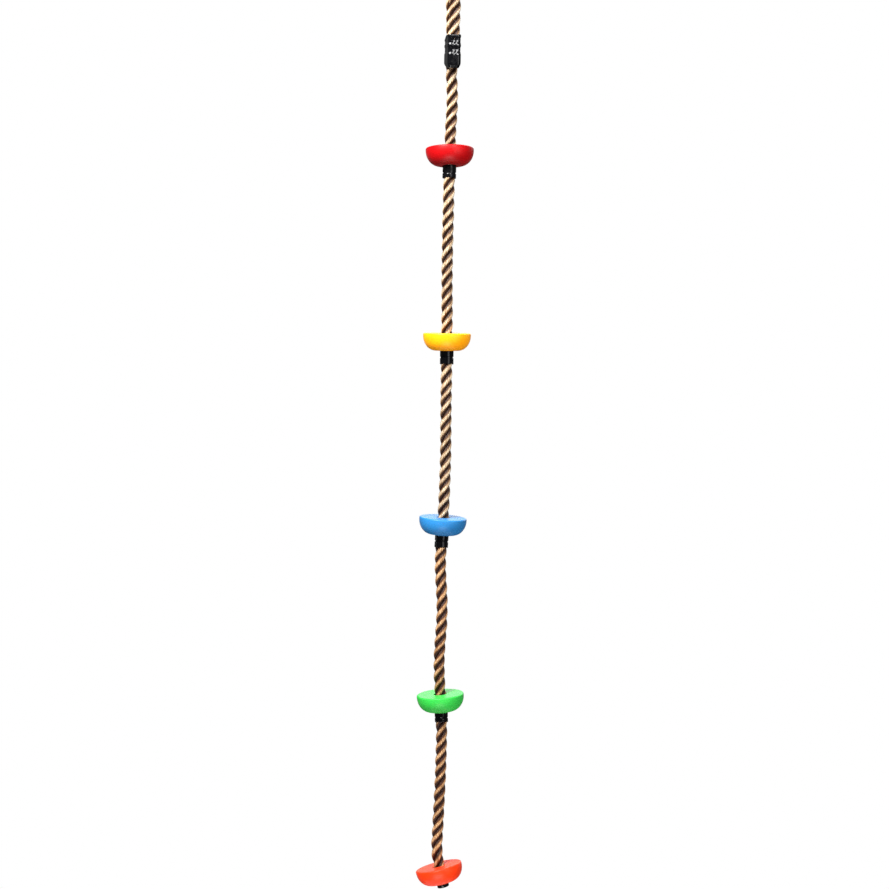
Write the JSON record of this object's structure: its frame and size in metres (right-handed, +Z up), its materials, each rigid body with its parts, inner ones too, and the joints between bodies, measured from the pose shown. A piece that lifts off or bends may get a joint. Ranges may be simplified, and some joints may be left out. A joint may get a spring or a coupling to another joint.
{
  "type": "climbing rope with foot discs",
  "caption": "Hanging climbing rope for children, a single laid rope with a clamped eye and ring at the top and round foot discs held by clamps along it.",
  "frame": {"origin": "where a hook bears inside the top of the hanging ring", "axes": "+Z up along the hanging rope, -Y the front, +X right; the two legs of the eye lie one behind the other along Y"},
  "size_m": [0.1052, 0.104, 2.0027],
  "materials": {
    "steel": "satin",
    "black_plastic": "satin",
    "rope": "satin",
    "red_plastic": "gloss",
    "yellow_plastic": "gloss",
    "blue_plastic": "gloss",
    "green_plastic": "gloss",
    "orange_plastic": "gloss"
  },
  "bodies": {
    "hanger": {"hanging_ring": "steel"},
    "eye": {"eye_thimble": "black_plastic", "top_clamp_left": "black_plastic", "top_clamp_right": "black_plastic", "rope_eye": "rope"},
    "section_red": {"rope_red": "rope", "clamp_red_front": "black_plastic", "clamp_red_rear": "black_plastic"},
    "disc_red": {"cover_red": "red_plastic", "bowl_red": "red_plastic"},
    "section_yellow": {"rope_yellow": "rope", "clamp_yellow_front": "black_plastic", "clamp_yellow_rear": "black_plastic"},
    "disc_yellow": {"cover_yellow": "yellow_plastic", "bowl_yellow": "yellow_plastic"},
    "section_blue": {"rope_blue": "rope", "clamp_blue_front": "black_plastic", "clamp_blue_rear": "black_plastic"},
    "disc_blue": {"cover_blue": "blue_plastic", "bowl_blue": "blue_plastic"},
    "section_green": {"rope_green": "rope", "clamp_green_front": "black_plastic", "clamp_green_rear": "black_plastic"},
    "disc_green": {"cover_green": "green_plastic", "bowl_green": "green_plastic"},
    "section_orange": {"rope_orange": "rope", "end_cap": "black_plastic"},
    "disc_orange": {"cover_orange": "orange_plastic", "bowl_orange": "orange_plastic"}
  },
  "joints": [
    {"name": "ring_swing", "type": "hinge", "parent": "hanger", "child": "eye", "pos_m": [0, 0, -0.064], "axis": [1, 0, 0], "range_deg": [-70, 70]},
    {"name": "bend_red", "type": "hinge", "parent": "eye", "child": "section_red", "pos_m": [0.00185, 0.0074, -0.351], "axis": [0, 1, 0], "range_deg": [-50, 50]},
    {"name": "disc_red_spin", "type": "hinge", "parent": "section_red", "child": "disc_red", "pos_m": [-0.00236, -0.0013, -0.4214], "axis": [-0.0017, 0.1564, 0.9877], "continuous": true},
    {"name": "bend_yellow", "type": "hinge", "parent": "section_red", "child": "section_yellow", "pos_m": [-0.00445, -0.00925, -0.6225], "axis": [0, 1, 0], "range_deg": [-50, 50]},
    {"name": "disc_yellow_spin", "type": "hinge", "parent": "section_yellow", "child": "disc_yellow", "pos_m": [-0.00056, 0.00026, -0.8049], "axis": [-0.0017, 0.0332, 0.9994], "continuous": true},
    {"name": "bend_blue", "type": "hinge", "parent": "section_yellow", "child": "section_blue", "pos_m": [0.00065, -0.001, -1.006], "axis": [0, 1, 0], "range_deg": [-50, 50]},
    {"name": "disc_blue_spin", "type": "hinge", "parent": "section_blue", "child": "disc_blue", "pos_m": [-0.00127, 0.002, -1.1934], "axis": [0.0488, 0, 0.9988], "continuous": true},
    {"name": "bend_green", "type": "hinge", "parent": "section_blue", "child": "section_green", "pos_m": [-0.002, -0.00175, -1.44], "axis": [0, 1, 0], "range_deg": [-50, 50]},
    {"name": "disc_green_spin", "type": "hinge", "parent": "section_green", "child": "disc_green", "pos_m": [-0.00089, 0.00093, -1.5718], "axis": [-0.0889, 0.0104, 0.996], "continuous": true},
    {"name": "bend_orange", "type": "hinge", "parent": "section_green", "child": "section_orange", "pos_m": [0.0026, 0.0005, -1.765], "axis": [0, 1, 0], "range_deg": [-50, 50]},
    {"name": "disc_orange_spin", "type": "hinge", "parent": "section_orange", "child": "disc_orange", "pos_m": [0.0019, -0.0005, -1.9466], "axis": [-0.2365, 0.1302, 0.9629], "continuous": true}
  ]
}
